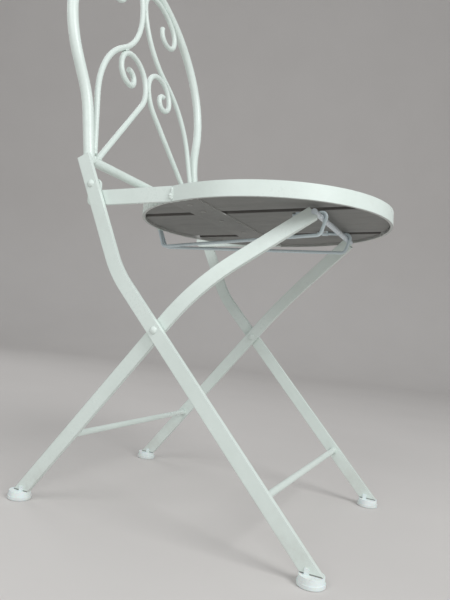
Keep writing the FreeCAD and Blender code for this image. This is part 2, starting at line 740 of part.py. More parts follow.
# Seat arms: flat bars from the ring back to the hinges, each with an ear raised to its rivet
arm_top = "-seat_below"
arm_bottom = "-seat_below - ring_tall"
for side, sign in SIDES:
    name = f"seat_arm_{side}"
    arm = padded_piece(
        name,
        (
            ("-seat_reach", arm_bottom),
            ("ear_radius - arm_corner", arm_bottom),
            ("ear_radius", f"{arm_bottom} + arm_corner", "arm_corner"),
            ("ear_radius", "0"),
            ("0", "ear_radius", "ear_radius"),
            ("-ear_radius", "0", "ear_radius"),
            ("-ear_radius", arm_top),
            ("-seat_reach", arm_top),
        ),
        "arm_thick",
    )
    x = f"{sign} * (inner_outer - arm_thick / 2)"
    put(arm, f"{x} - arm_thick / 2", "hinge_y", "hinge_z", SEAT)
    cope = cylinder(f"{name}_cope", "ring_radius + weld_gap", "3 * ring_tall")
    put(cope, "0", *on_seat("seat_reach", "seat_below + 2 * ring_tall"), SEAT)
    arm = joined("Cut", f"{name}_coped", arm, cope)
    bore = "rivet_dia / 2 + turn_play"
    finish(drilled(f"{name}_hinge", arm, bore, x, "hinge_y", "hinge_z", "2 * bar_thick"), name)

# Guide rails: wire bent round the slide rod in front, back below the boards to the middle of the ring,
# and up to its lower edge
riser_turn = "(90 + rail_rake)"
wrap_down = "(wire_centre + slide_wrap * (1 + sin(rail_rake)))"
bend_down = "rail_bend * (1 - sin(rail_rake))"
riser_run = f"((rail_depth - {wrap_down} - {bend_down}) / cos(rail_rake))"
heel_rise = f"(rail_depth - {bend_down} - ring_tall - weld_gap)"
strand_front = f"(rail_span + (slide_wrap - rail_bend) * cos(rail_rake) - {riser_run} * sin(rail_rake))"
strand_rear = f"({heel_rise} * tan(rail_rake) + rail_bend * cos(rail_rake))"
toe = math.radians(number("rail_toe"))
for side, sign in SIDES:
    name = f"guide_rail_{side}"
    rail = bent_piece(
        name,
        (
            ("run", "rail_lead"),
            ("right", "slide_wrap", riser_turn),
            ("run", riser_run),
            ("right", "rail_bend", "180 - " + riser_turn),
            ("run", f"{strand_front} - {strand_rear}"),
            ("right", "rail_bend", "90 - rail_rake"),
            ("run", f"{heel_rise} / cos(rail_rake) + rail_dia * tan(rail_rake)"),
        ),
        draw_round,
        "rail_dia",
    )
    start = on_seat("slide_reach - rail_lead * cos(rail_toe)", "seat_below + wire_centre")
    outward = FORWARD * math.cos(toe) + ACROSS * (sign * math.sin(toe))
    put(rail, f"{sign} * (rail_at - rail_lead * sin(rail_toe))", *start, axes(DOWN, outward))
    trim = cylinder(f"{name}_trim", "2 * rail_dia", "ring_tall")
    put(trim, f"{sign} * heel_x", *on_seat("heel_reach", "seat_below + ring_tall + weld_gap"), SEAT)
    finish(joined("Cut", f"{name}_trimmed", rail, trim), name)

doc.recompute()

# Every piece must be whole before any file is written
for item in doc.Objects:
    if {"Invalid", "Error"} & set(item.State):
        raise SystemExit(f"{item.Name} failed: {item.State}")
os.makedirs("parts", exist_ok=True)
for label, item in nodes.items():
    shape = item.Shape
    if shape.isNull() or not shape.isValid() or len(shape.Solids) != 1:
        raise SystemExit(f"{label} is not one valid solid")
for label, item in nodes.items():
    item.Shape.exportStep(f"parts/{label}.step")
print(f"{len(nodes)} parts written")
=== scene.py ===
import math
import random

import bmesh
import bpy
from mathutils import Matrix, Vector


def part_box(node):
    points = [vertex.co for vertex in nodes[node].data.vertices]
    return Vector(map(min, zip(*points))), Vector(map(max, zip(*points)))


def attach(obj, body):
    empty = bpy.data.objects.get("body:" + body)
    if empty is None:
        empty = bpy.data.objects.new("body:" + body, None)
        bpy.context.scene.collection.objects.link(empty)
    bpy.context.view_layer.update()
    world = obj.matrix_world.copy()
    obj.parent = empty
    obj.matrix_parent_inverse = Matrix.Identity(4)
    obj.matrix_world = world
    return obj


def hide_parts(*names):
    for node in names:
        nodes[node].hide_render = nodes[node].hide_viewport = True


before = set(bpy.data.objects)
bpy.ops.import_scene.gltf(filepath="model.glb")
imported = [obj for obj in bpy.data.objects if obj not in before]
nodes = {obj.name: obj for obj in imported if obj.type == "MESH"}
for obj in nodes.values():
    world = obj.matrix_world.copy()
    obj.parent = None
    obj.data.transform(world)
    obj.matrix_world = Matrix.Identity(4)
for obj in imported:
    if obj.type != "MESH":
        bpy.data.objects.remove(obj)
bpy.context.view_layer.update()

# Front legs: two flat steel bars, bent on edge at a knee below the seat,
# which run from the front feet up to the backrest. They are powder coated
# in a white with a little mint in it. Just above their foot caps their flat sides carry a dark band:
# painted shade of the gap in the cap's socket, with some dirt in it.


def wire(tree, kind, settings=None, **sockets):
    """A node with its settings, and with values or links on its inputs, by name or by number."""
    made = tree.nodes.new(kind)
    for key, value in (settings or {}).items():
        setattr(made, key, value)
    for key, value in sockets.items():
        socket = made.inputs[int(key[1:]) if key[1:].isdigit() else key.replace("_", " ")]
        if isinstance(value, bpy.types.NodeSocket):
            tree.links.new(value, socket)
        else:
            socket.default_value = value
    return made


def shader_group(name, inputs, outputs):
    """An empty shader group with its named sockets."""
    tree = bpy.data.node_groups.new(name, "ShaderNodeTree")
    for label, kind, value in inputs:
        socket = tree.interface.new_socket(name=label, in_out="INPUT", socket_type=f"NodeSocket{kind}")
        if value is not None:
            socket.default_value = value
    for label, kind in outputs:
        tree.interface.new_socket(name=label, in_out="OUTPUT", socket_type=f"NodeSocket{kind}")
    return tree, tree.nodes.new("NodeGroupInput").outputs, tree.nodes.new("NodeGroupOutput").inputs


def placed(tree, group, **sockets):
    """A shader group placed in a material with its own values."""
    return wire(tree, "ShaderNodeGroup", {"node_tree": group}, **sockets).outputs


def spread(tree, value, low, high, to_low, to_high):
    """A value moved smoothly from one range to another."""
    return wire(
        tree, "ShaderNodeMapRange", {"interpolation_type": "SMOOTHSTEP"},
        Value=value, From_Min=low, From_Max=high, To_Min=to_low, To_Max=to_high,
    ).outputs["Result"]


def maths(tree, operation, first, second=0.0):
    return wire(tree, "ShaderNodeMath", {"operation": operation}, _0=first, _1=second).outputs[0]


def vector_maths(tree, operation, first, second=(0, 0, 0)):
    made = wire(tree, "ShaderNodeVectorMath", {"operation": operation}, _0=first, _1=second)
    return made.outputs["Value" if operation == "DOT_PRODUCT" else "Vector"]


def along(tree, vector, axis):
    """How far a vector goes along one axis."""
    return wire(tree, "ShaderNodeSeparateXYZ", None, Vector=vector).outputs[axis]


def tint(tree, share, first, second):
    """Two colours mixed by a share."""
    return wire(tree, "ShaderNodeMix", {"data_type": "RGBA"}, _0=share, _6=first, _7=second).outputs[2]


def noise(tree, vector, scale, detail, roughness=0.5):
    return wire(
        tree, "ShaderNodeTexNoise", None, Vector=vector, Scale=scale, Detail=detail, Roughness=roughness
    ).outputs["Fac"]


# Powder coat: cloudy colour, a fine orange peel and a gloss that varies with it
tree, given, result = shader_group(
    "Powder coat",
    (
        ("Vector", "Vector", None),
        ("Tone", "Color", (0.8, 0.8, 0.8, 1)),
        ("Thin tone", "Color", (0.7, 0.7, 0.7, 1)),
        ("Roughness", "Float", 0.4),
        ("Peel size", "Float", 700.0),
    ),
    (("Color", "Color"), ("Roughness", "Float"), ("Height", "Float")),
)
cloud = noise(tree, given["Vector"], 11.0, 4.0, 0.6)
speck = noise(tree, given["Vector"], 190.0, 2.0)
peel = noise(tree, given["Vector"], given["Peel size"], 1.0)
runs = noise(tree, given["Vector"], 75.0, 1.0)
clouded = tint(tree, spread(tree, cloud, 0.36, 0.7, 0.0, 0.75), given["Tone"], given["Thin tone"])
specked = spread(tree, speck, 0.62, 0.8, 0.0, 0.35)
tree.links.new(tint(tree, specked, clouded, given["Thin tone"]), result["Color"])
gloss = maths(tree, "ADD", given["Roughness"], spread(tree, cloud, 0.3, 0.7, -0.07, 0.09))
gloss = maths(tree, "ADD", gloss, spread(tree, speck, 0.3, 0.7, -0.03, 0.04))
tree.links.new(gloss, result["Roughness"])
tree.links.new(maths(tree, "ADD", peel, maths(tree, "MULTIPLY", runs, 1.6)), result["Height"])
powder_coat = tree

# Rubbed edges: where the surface turns a corner, broken up along its length
tree, given, result = shader_group(
    "Rubbed edges",
    (("Vector", "Vector", None), ("Radius", "Float", 0.001), ("Bare at", "Float", 0.6)),
    (("Edge", "Float"), ("Bare", "Float"), ("Normal", "Vector")),
)
rounded = wire(tree, "ShaderNodeBevel", {"samples": 6}, Radius=given["Radius"]).outputs[0]
flat = wire(tree, "ShaderNodeNewGeometry").outputs["Normal"]
turned = maths(tree, "SUBTRACT", 1.0, vector_maths(tree, "DOT_PRODUCT", rounded, flat))
edge = spread(tree, turned, 0.002, 0.12, 0.0, 1.0)
patch = noise(tree, given["Vector"], 42.0, 5.0, 0.65)
worn = spread(tree, patch, 0.3, 0.62, 0.25, 1.0)
broken = wire(tree, "ShaderNodeMapRange", None, Value=patch, From_Min=given["Bare at"], From_Max=0.84)
tree.links.new(maths(tree, "MULTIPLY", edge, worn), result["Edge"])
tree.links.new(maths(tree, "MULTIPLY", edge, broken.outputs["Result"]), result["Bare"])
tree.links.new(rounded, result["Normal"])
rubbed_edges = tree

# Handling dirt: a thin grey film in patches, thicker close to the ground
tree, given, result = shader_group(
    "Handling dirt",
    (("Vector", "Vector", None), ("Ground", "Float", 0.12), ("Patches", "Float", 0.2)),
    (("Dirt", "Float"),),
)
near_ground = spread(tree, along(tree, given["Vector"], "Z"), 0.0, given["Ground"], 0.3, 0.0)
smear = noise(tree, given["Vector"], 24.0, 6.0, 0.7)
smears = maths(tree, "MULTIPLY", spread(tree, smear, 0.5, 0.75, 0.0, 1.0), given["Patches"])
splash = maths(tree, "MULTIPLY", near_ground, spread(tree, smear, 0.35, 0.65, 0.15, 1.0))
dirt = wire(tree, "ShaderNodeClamp", None, Value=maths(tree, "ADD", smears, splash)).outputs[0]
tree.links.new(dirt, result["Dirt"])
handling_dirt = tree

MM = 0.001
MINT_WHITE = (0.775, 0.855, 0.815, 1)
THIN_MINT = (0.725, 0.81, 0.765, 1)
BARE_STEEL = (0.36, 0.36, 0.35, 1)
GROUND_DIRT = (0.46, 0.43, 0.39, 1)


def new_finish(name):
    """A new material, with its node tree and its shader."""
    material = bpy.data.materials.new(name)
    material.use_nodes = True
    return material, material.node_tree, material.node_tree.nodes["Principled BSDF"]


def raise_surface(tree, shader, strength, distance, **sockets):
    """Bump a surface by a height, on top of its rounded corners where it has them."""
    bump = wire(tree, "ShaderNodeBump", None, Strength=strength, Distance=distance, **sockets)
    tree.links.new(bump.outputs[0], shader.inputs["Normal"])


def coated_steel(name, tone=MINT_WHITE, thin=THIN_MINT, gloss=0.34, edge=0.0011, bare=0.68, peel=700.0):
    """Powder coat on steel, rubbed at its corners and a little dirty."""
    material, tree, shader = new_finish(name)
    place = wire(tree, "ShaderNodeTexCoord").outputs["Object"]
    coat = placed(
        tree, powder_coat, Vector=place, Tone=tone, Thin_tone=thin, Roughness=gloss, Peel_size=peel
    )
    rub = placed(tree, rubbed_edges, Vector=place, Radius=edge, Bare_at=bare)
    soil = placed(tree, handling_dirt, Vector=place, Ground=0.1, Patches=0.1)
    soiled = tint(tree, soil["Dirt"], coat["Color"], GROUND_DIRT)
    polished = tint(tree, maths(tree, "MULTIPLY", rub["Edge"], 0.35), soiled, tone)
    tree.links.new(tint(tree, rub["Bare"], polished, BARE_STEEL), shader.inputs["Base Color"])
    dull = maths(tree, "ADD", coat["Roughness"], maths(tree, "MULTIPLY", soil["Dirt"], 0.3))
    tree.links.new(dull, shader.inputs["Roughness"])
    tree.links.new(maths(tree, "MULTIPLY", rub["Bare"], 0.85), shader.inputs["Metallic"])
    raise_surface(tree, shader, 0.16, 0.0006, Height=coat["Height"], Normal=rub["Normal"])
    shader.inputs["Specular IOR Level"].default_value = 0.45
    return material


def colour_over(material, share, colour):
    """Lay another colour over a finished material, by a share."""
    tree = material.node_tree
    base = tree.nodes["Principled BSDF"].inputs["Base Color"]
    tree.links.new(tint(tree, share, base.links[0].from_socket, colour), base)


def dress(material, *names):
    """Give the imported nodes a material."""
    for name in names:
        slots = nodes[name].data.materials
        slots.clear()
        slots.append(material)


CAP_TOP = 12 * MM
# Painted shade band on the legs just above the cap top: where it is full, where it ends, and its dark
# colour (shade with some dirt)
SOCKET_SHADE_FULL = CAP_TOP + 1.0 * MM
SOCKET_SHADE_END = CAP_TOP + 1.8 * MM
SOCKET_SHADE_AND_GRIME = (0.15, 0.145, 0.14, 1)
leg_coat = coated_steel("leg_coat")
tree = leg_coat.node_tree
spots = wire(tree, "ShaderNodeTexCoord").outputs
flat_side = maths(tree, "ABSOLUTE", along(tree, spots["Normal"], "X"))
flat_side = spread(tree, flat_side, 0.4, 0.6, 0.0, 0.85)
# painted shade: the flat sides darken in a thin band just above the cap top, standing for the shade in the
# socket gap
socket_shade_share = spread(tree, along(tree, spots["Object"], "Z"), SOCKET_SHADE_FULL, SOCKET_SHADE_END, 1.0, 0.0)
colour_over(leg_coat, maths(tree, "MULTIPLY", socket_shade_share, flat_side), SOCKET_SHADE_AND_GRIME)
dress(leg_coat, "front_leg_right", "front_leg_left")

# Front stretcher: a round bar butted between the front legs and welded
# all round at each end. The weld beads are ground a little and coated
# with the rest of the frame.
WELD_THIN = (0.62, 0.72, 0.67, 1)
rod_coat = coated_steel("rod_coat", gloss=0.32, edge=0.0006, bare=0.74, peel=800.0)
weld_coat = coated_steel("weld_coat", thin=WELD_THIN, gloss=0.42, edge=0.0004, bare=0.8, peel=420.0)
dress(rod_coat, "front_stretcher")
RIGHT_LEFT = (("right", -1), ("left", 1))
X = Vector((1, 0, 0))
Y = Vector((0, 1, 0))
Z = Vector((0, 0, 1))


def turns(count):
    """The angles of equal steps once round."""
    return [2 * math.pi * step / count for step in range(count)]


def loop_path(centre, first, second, radius, steps=40):
    """A closed ring of points round a centre."""
    return [centre + (first * math.cos(turn) + second * math.sin(turn)) * radius for turn in turns(steps)]


def line_path(start, end, steps=14):
    return [start.lerp(end, step / steps) for step in range(steps + 1)]


def piece(name, body, build, material):
    """Turn a finished mesh into a piece that rides on a body."""
    mesh = bpy.data.meshes.new(name)
    build.to_mesh(mesh)
    build.free()
    mesh.shade_smooth()
    mesh.materials.append(material)
    made = bpy.data.objects.new(name, mesh)
    bpy.context.scene.collection.objects.link(made)
    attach(made, body)
    return made


BEAD_SIDES = 12
BEAD_RIPPLE = 0.13
BEAD_UNEVEN = 0.06
BEAD_TAPER = 3


def weld(name, body, beads, seed):
    """Beads with the ripple of a hand weld.

    Each has its points, its radius in millimetres and whether it closes on itself.
    """
    chance = random.Random(seed)
    build = bmesh.new()
    for points, thick, closed in beads:
        radius = thick * MM
        count = len(points)
        length = 0.0
        rings = []
        for index, point in enumerate(points):
            after = points[(index + 1) % count] if closed or index < count - 1 else point
            before = points[index - 1] if closed or index > 0 else point
            if index:
                length += (point - points[index - 1]).length
            way = (after - before).normalized()
            across = across - way * across.dot(way) if rings else way.orthogonal()
            across = across.normalized()
            wave = BEAD_RIPPLE * math.cos(2 * math.pi * length / (1.15 * radius))
            ripple = 1 + wave + chance.uniform(-BEAD_UNEVEN, BEAD_UNEVEN)
            taper = 1.0
            if not closed:
                reach = min(index, count - 1 - index) / BEAD_TAPER
                taper = math.sqrt(max(1 - (1 - min(reach, 1)) ** 2, 0.02))
            ring = loop_path(point, across, way.cross(across), radius * ripple * taper, BEAD_SIDES)
            rings.append([build.verts.new(place) for place in ring])
        pairs = list(zip(rings, rings[1:])) + ([(rings[-1], rings[0])] if closed else [])
        for one, two in pairs:
            shift = 0
            if closed and one is rings[-1]:
                shift = min(range(BEAD_SIDES), key=lambda step: (one[0].co - two[step].co).length)
            for step in range(BEAD_SIDES):
                following = (step + 1) % BEAD_SIDES
                far = (two[(following + shift) % BEAD_SIDES], two[(step + shift) % BEAD_SIDES])
                build.faces.new((one[step], one[following], *far))
        if not closed:
            build.faces.new(rings[0][::-1])
            build.faces.new(rings[-1])
    bmesh.ops.recalc_face_normals(build, faces=build.faces)
    piece(name, body, build, weld_coat)


STRETCHER_RING = 5.0
STRETCHER_IN = 0.9
BEAD = 1.5


def stretcher_weld(node, body, side, sign, seed):
    """A bead all round one end of a round bar, where it meets a leg."""
    low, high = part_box(node)
    end = Vector((sign * (high.x - STRETCHER_IN * MM), (low.y + high.y) / 2, (low.z + high.z) / 2))
    ring = loop_path(end, Y, Z, STRETCHER_RING * MM)
    weld(f"{node}_weld_{side}", body, [(ring, BEAD, True)], seed + sign)


for side, sign in RIGHT_LEFT:
    stretcher_weld("front_stretcher", "back_frame", side, sign, 3)

# Rear legs: the same flat bar inside the front legs, bent forward and inward
# below the seat. A round bar ties them low down, and another across
# their tops slides in the rails of the seat, rubbed bare where it runs.
dress(leg_coat, "rear_leg_right", "rear_leg_left")
dress(rod_coat, "rear_stretcher")
SLIDE_TONE = (0.72, 0.79, 0.83, 1)
SLIDE_THIN = (0.60, 0.66, 0.71, 1)
slide_coat = coated_steel("slide_coat", tone=SLIDE_TONE, thin=SLIDE_THIN, gloss=0.27, edge=0.0006, bare=0.6)
dress(slide_coat, "slide_rod")
LEG_TOP_X = 112.0
LEG_TOP_DOWN = 2.2
LEG_TOP_LEAN = (0.337, -0.711, 0.617)
SLIDE_BEAD_OUT = 4.4
SLIDE_BEAD_HALF = 4.2
low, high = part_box("slide_rod")
rod_middle = (low + high) / 2
for side, sign in RIGHT_LEFT:
    stretcher_weld("rear_stretcher", "rear_legs", side, sign, 7)
    inward, ahead, up = LEG_TOP_LEAN
    up_leg = Vector((-sign * inward, ahead, up)).normalized()
    wide = X.cross(up_leg).normalized()
    top = Vector((sign * LEG_TOP_X * MM, rod_middle.y, rod_middle.z)) - up_leg * LEG_TOP_DOWN * MM
    beads = []
    for way in (-1, 1):
        at = top + wide * way * SLIDE_BEAD_OUT * MM
        half = X * SLIDE_BEAD_HALF * MM
        beads.append((line_path(at - half, at + half), BEAD, False))
    weld(f"slide_rod_weld_{side}", "rear_legs", beads, 11 + sign)

# Rivets: four steel rivets that the legs and the seat turn on, with a domed
# head outside and a clenched tail inside, coated with the frame and worn
# to the steel on the crown. Zinc-plated washers keep the bars apart.
ZINC = (0.55, 0.57, 0.58, 1)
ZINC_DULL = (0.46, 0.48, 0.49, 1)
rivet_coat = coated_steel("rivet_coat", gloss=0.24, edge=0.0005, bare=0.62, peel=900.0)
washer_zinc = coated_steel("washer_zinc", tone=ZINC, thin=ZINC_DULL, gloss=0.33, edge=0.0003, bare=0.5)


def lathe(build, profile, base, axis, steps=40):
    """Turn an outline of (radius, height) about an axis."""
    first = axis.orthogonal().normalized()
    second = axis.cross(first)
    rings = []
    for radius, height in profile:
        spot = base + axis * height
        ring = loop_path(spot, first, second, radius, steps) if radius > 1e-6 else [spot]
        rings.append([build.verts.new(place) for place in ring])
    for one, two in zip(rings, rings[1:]):
        for step in range(steps):
            following = (step + 1) % steps
            corners = []
            for ring, at in ((one, step), (one, following), (two, following), (two, step)):
                corner = ring[at % len(ring)]
                if corner not in corners:
                    corners.append(corner)
            if len(corners) > 2:
                build.faces.new(corners)
    bmesh.ops.recalc_face_normals(build, faces=build.faces)


def soften(made, degrees=35):
    """Keep the true corners of a turned or cut piece crisp."""
    made.data.set_sharp_from_angle(angle=math.radians(degrees))


CROWN_RADIUS = 5.5 * MM
CROWN_RISE = 3.2 * MM
CROWN_STEPS = 8
TAIL_OUTLINE = ((0, 2), (4.3, 2), (5.2, 1.6), (5.5, 0.9), (5.5, 0), (3, 0))
HEAD_AND_TAIL = 5.2 * MM
SHANK_RADIUS = 3 * MM
ball = (CROWN_RADIUS ** 2 + CROWN_RISE ** 2) / (2 * CROWN_RISE)
widest = math.asin(CROWN_RADIUS / ball)
dome = []
for step in range(CROWN_STEPS + 1):
    turn = widest * (1 - step / CROWN_STEPS)
    dome.append((ball * math.sin(turn), CROWN_RISE - ball * (1 - math.cos(turn))))
for side, sign in RIGHT_LEFT:
    for joint in ("pivot", "hinge"):
        name = f"{joint}_rivet_{side}"
        low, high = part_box(name)
        outer, inner = (high.x, low.x) if sign > 0 else (low.x, high.x)
        base = Vector((outer - sign * CROWN_RISE, (low.y + high.y) / 2, (low.z + high.z) / 2))
        grip = abs(outer - inner) - HEAD_AND_TAIL
        tail = [(radius * MM, -grip - deep * MM) for radius, deep in TAIL_OUTLINE]
        build = bmesh.new()
        lathe(build, tail + [(SHANK_RADIUS, 0)] + dome, base, X * sign)
        head = piece(f"{joint}_rivet_head_{side}", "back_frame", build, rivet_coat)
        soften(head)
        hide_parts(name)
        dress(washer_zinc, f"{joint}_washer_{side}")

# Foot caps: injection-moulded plastic cups pushed onto the ends of the bars,
# a purer white than the frame, scuffed round the rim they stand on.
CAP_WHITE = (0.835, 0.915, 0.915, 1)
CAP_YELLOWED = (0.80, 0.81, 0.76, 1)
CAP_SCRATCH = (0.55, 0.55, 0.53, 1)
tree, given, result = shader_group(
    "Moulded plastic",
    (("Vector", "Vector", None), ("Tone", "Color", (0.8, 0.8, 0.8, 1)), ("Roughness", "Float", 0.4)),
    (("Color", "Color"), ("Roughness", "Float"), ("Height", "Float")),
)
flow = noise(tree, given["Vector"], 38.0, 3.0, 0.6)
grain = noise(tree, given["Vector"], 1400.0, 1.0)
cells = vector_maths(tree, "MULTIPLY", given["Vector"], (160, 160, 520))
marks = wire(tree, "ShaderNodeTexVoronoi", {"feature": "DISTANCE_TO_EDGE"}, Vector=cells, Scale=1.0)
lines = spread(tree, marks.outputs["Distance"], 0.0, 0.05, 1.0, 0.0)
scratch = maths(tree, "MULTIPLY", lines, spread(tree, flow, 0.5, 0.7, 0.0, 0.5))
yellowed = tint(tree, spread(tree, flow, 0.4, 0.75, 0.0, 0.4), given["Tone"], CAP_YELLOWED)
tree.links.new(tint(tree, scratch, yellowed, CAP_SCRATCH), result["Color"])
uneven = maths(tree, "ADD", spread(tree, flow, 0.3, 0.7, -0.06, 0.08), scratch)
tree.links.new(maths(tree, "ADD", given["Roughness"], uneven), result["Roughness"])
tree.links.new(maths(tree, "SUBTRACT", grain, maths(tree, "MULTIPLY", scratch, 1.5)), result["Height"])
moulded_plastic = tree

cap_plastic, tree, shader = new_finish("cap_plastic")
place = wire(tree, "ShaderNodeTexCoord").outputs["Object"]
skin = placed(tree, moulded_plastic, Vector=place, Tone=CAP_WHITE, Roughness=0.34)
soil = placed(tree, handling_dirt, Vector=place, Ground=0.012, Patches=0.12)
rub = placed(tree, rubbed_edges, Vector=place, Radius=0.0009, Bare_at=0.7)
tree.links.new(tint(tree, soil["Dirt"], skin["Color"], GROUND_DIRT), shader.inputs["Base Color"])
dull = maths(tree, "ADD", skin["Roughness"], maths(tree, "MULTIPLY", soil["Dirt"], 0.3))
tree.links.new(dull, shader.inputs["Roughness"])
raise_surface(tree, shader, 0.12, 0.0004, Height=skin["Height"], Normal=rub["Normal"])
shader.inputs["Subsurface Weight"].default_value = 0.06
shader.inputs["Subsurface Scale"].default_value = 0.004
dress(cap_plastic, "front_foot_right", "front_foot_left", "rear_foot_right", "rear_foot_left")

# Backrest frame: one arch of round tube, its feet welded to the inner faces
# of the front legs, and a tube across between those feet, its ends
# hollowed to fit and welded all round.
tube_coat = coated_steel("tube_coat", gloss=0.31, edge=0.0006, bare=0.76, peel=650.0)
dress(tube_coat, "back_arch", "back_cross_tube")
LEAN = math.radians(9.7)
BACK_FOOT = Vector((0, 165.48 * MM, 492.85 * MM))
UP_BACK = Vector((0, math.sin(LEAN), math.cos(LEAN)))
FROM_BACK = Vector((0, -math.cos(LEAN), math.sin(LEAN)))


def on_back(x, up, out=0.0):
    """A place on the backrest's leaning plane, in millimetres across, up and forward of it."""
    return BACK_FOOT + (X * x + UP_BACK * up + FROM_BACK * out) * MM


ARCH_X = 169.96
ARCH_RADIUS = 8
CROSS_UP = -2
CROSS_RADIUS = 7
CROSS_BEAD_RING = 7.3
FOOT_BEAD_X = 176.6
TOP_BEAD_X = 176.9
TOP_BEAD_HALF = 6.5
LEG_SLOPE = math.radians(64.2)
UP_LEG = Vector((0, math.cos(LEG_SLOPE), math.sin(LEG_SLOPE)))
BESIDE_LEG = Vector((0, -UP_LEG.z, UP_LEG.y))
for side, sign in RIGHT_LEFT:
    seam = []
    for turn in turns(44):
        out = CROSS_RADIUS * math.sin(turn)
        x = ARCH_X - math.sqrt(ARCH_RADIUS ** 2 - out ** 2) - 0.5
        seam.append(on_back(sign * x, CROSS_UP + CROSS_BEAD_RING * math.cos(turn), 1.04 * out))
    weld(f"cross_tube_weld_{side}", "back_frame", [(seam, BEAD, True)], 21 + sign)
    beads = []
    for out in (-6.6, 6.6):
        start = on_back(sign * FOOT_BEAD_X, -7.5, out)
        beads.append((line_path(start, on_back(sign * FOOT_BEAD_X, 0.5, out)), BEAD, False))
    top = BACK_FOOT + X * sign * TOP_BEAD_X * MM + UP_LEG * 0.6 * MM
    half = BESIDE_LEG * TOP_BEAD_HALF * MM
    beads.append((line_path(top - half, top + half, 18), 1.9, False))
    weld(f"arch_foot_weld_{side}", "back_frame", beads, 25 + sign)

# Outer scrolls: two rods bent cold into long double curves, welded to the feet
# of the arch, to each other on the middle line, and under the top
# of the arch, where each ends in a curl.
dress(rod_coat, "scroll_outer_right", "scroll_outer_left")
SCROLL_BEAD = 1.3
OUTER_FOOT = ((161.7, 8.2), (161.2, 17.0))
OUTER_TOUCH = (79.34, 366.68)
OUTER_TOUCH_LEAN = (0.9152, -0.403)
OUTER_TOUCH_HALF = 6.5


def touch_path(sign, spot, out, lean, half, steps):
    """The line along which a rod touches what it is welded to, given across and up on the right."""
    touch = on_back(sign * spot[0], spot[1], out)
    way = (X * sign * lean[0] + UP_BACK * lean[1]) * half * MM
    return line_path(touch - way, touch + way, steps)


def middle_weld(name, low, high, steps, seed):
    """Two beads along the middle line, in front and behind, where a pair of scrolls touch."""
    beads = []
    for out in (-3.2, 3.2):
        beads.append((line_path(on_back(0, low, out), on_back(0, high, out), steps), SCROLL_BEAD, False))
    weld(name, "back_frame", beads, seed)


for side, sign in RIGHT_LEFT:
    beads = []
    for out in (-3.6, 3.6):
        low_end, high_end = (on_back(sign * x, up, out) for x, up in OUTER_FOOT)
        beads.append((line_path(low_end, high_end), 1.2, False))
        touch = touch_path(sign, OUTER_TOUCH, out * 1.05, OUTER_TOUCH_LEAN, OUTER_TOUCH_HALF, 18)
        beads.append((touch, 1.35, False))
    weld(f"scroll_outer_weld_{side}", "back_frame", beads, 31 + sign)
middle_weld("scroll_outer_middle_weld", 320, 338, 24, 35)

# Inner scrolls: two shorter rods that rise from the cross tube, meet on the
# middle line and turn over in a curl that is welded below the outer rod.
dress(rod_coat, "scroll_inner_right", "scroll_inner_left")
INNER_TOUCH = (64.91, 217.02)
INNER_TOUCH_LEAN = (-0.848, 0.53)
INNER_TOUCH_HALF = 6.0
ROD_SLOPE = math.radians(43.9)
ROD_FOOT_X = 156.42
ROD_BEAD_RING = 4.9
for side, sign in RIGHT_LEFT:
    beads = []
    for out in (-3.4, 3.4):
        touch = touch_path(sign, INNER_TOUCH, out, INNER_TOUCH_LEAN, INNER_TOUCH_HALF, 16)
        beads.append((touch, SCROLL_BEAD, False))
    foot = []
    for turn in turns(36):
        out = ROD_BEAD_RING * math.sin(turn)
        beside = ROD_BEAD_RING * math.cos(turn)
        top_of_tube = CROSS_UP + math.sqrt(CROSS_RADIUS ** 2 - out ** 2) + 0.4
        along_rod = (top_of_tube - CROSS_UP - beside * math.sin(ROD_SLOPE)) / math.cos(ROD_SLOPE)
        x = ROD_FOOT_X - along_rod * math.sin(ROD_SLOPE) + beside * math.cos(ROD_SLOPE)
        foot.append(on_back(sign * x, top_of_tube, out))
    beads.append((foot, SCROLL_BEAD, True))
    weld(f"scroll_inner_weld_{side}", "back_frame", beads, 41 + sign)
middle_weld("scroll_inner_middle_weld", 170, 186, 22, 45)

# Seat frame: a hoop of flat bar on edge with an arm of the same height to each
# hinge, butt welded to the outside of the hoop. The weld stands proud in a knob
# on the outer face. The inside and lower edge of the hoop are painted grey as painted shade, like the
# boards' undersides.
dress(leg_coat, "seat_arm_right", "seat_arm_left")
TILT = math.radians(3.2)
HINGE = Vector((0, 145.89 * MM, 452.34 * MM))
AHEAD = Vector((0, -math.cos(TILT), math.sin(TILT)))
BELOW = Vector((0, -math.sin(TILT), -math.cos(TILT)))
SEAT_MIDDLE = 194.8
SEAT_TOP = 7.8
HOOP_RADIUS = 189.5
HOOP_SHADE_GREY = (0.42, 0.425, 0.41, 1)
hoop_coat = coated_steel("hoop_coat")
tree = hoop_coat.node_tree
spots = wire(tree, "ShaderNodeTexCoord").outputs
hoop_middle = HINGE + (AHEAD * SEAT_MIDDLE + BELOW * 40) * MM
inward = vector_maths(tree, "SUBTRACT", tuple(hoop_middle), spots["Object"])
inward = vector_maths(tree, "NORMALIZE", inward)
# painted shade: faces of the hoop that turn inward are greyed for the shade under the seat, broken up a
# little by noise
inward_shade_share = spread(tree, vector_maths(tree, "DOT_PRODUCT", inward, spots["Normal"]), 0.02, 0.08, 0.0, 1.0)
shade_breakup = spread(tree, noise(tree, spots["Object"], 30.0, 4.0, 0.6), 0.2, 0.6, 0.8, 1.0)
colour_over(hoop_coat, maths(tree, "MULTIPLY", inward_shade_share, shade_breakup), HOOP_SHADE_GREY)
dress(hoop_coat, "seat_ring")


def on_seat(x, ahead, below):
    """A place on the seat, in millimetres across, ahead of its hinge and below it."""
    return HINGE + (X * x + AHEAD * ahead + BELOW * below) * MM


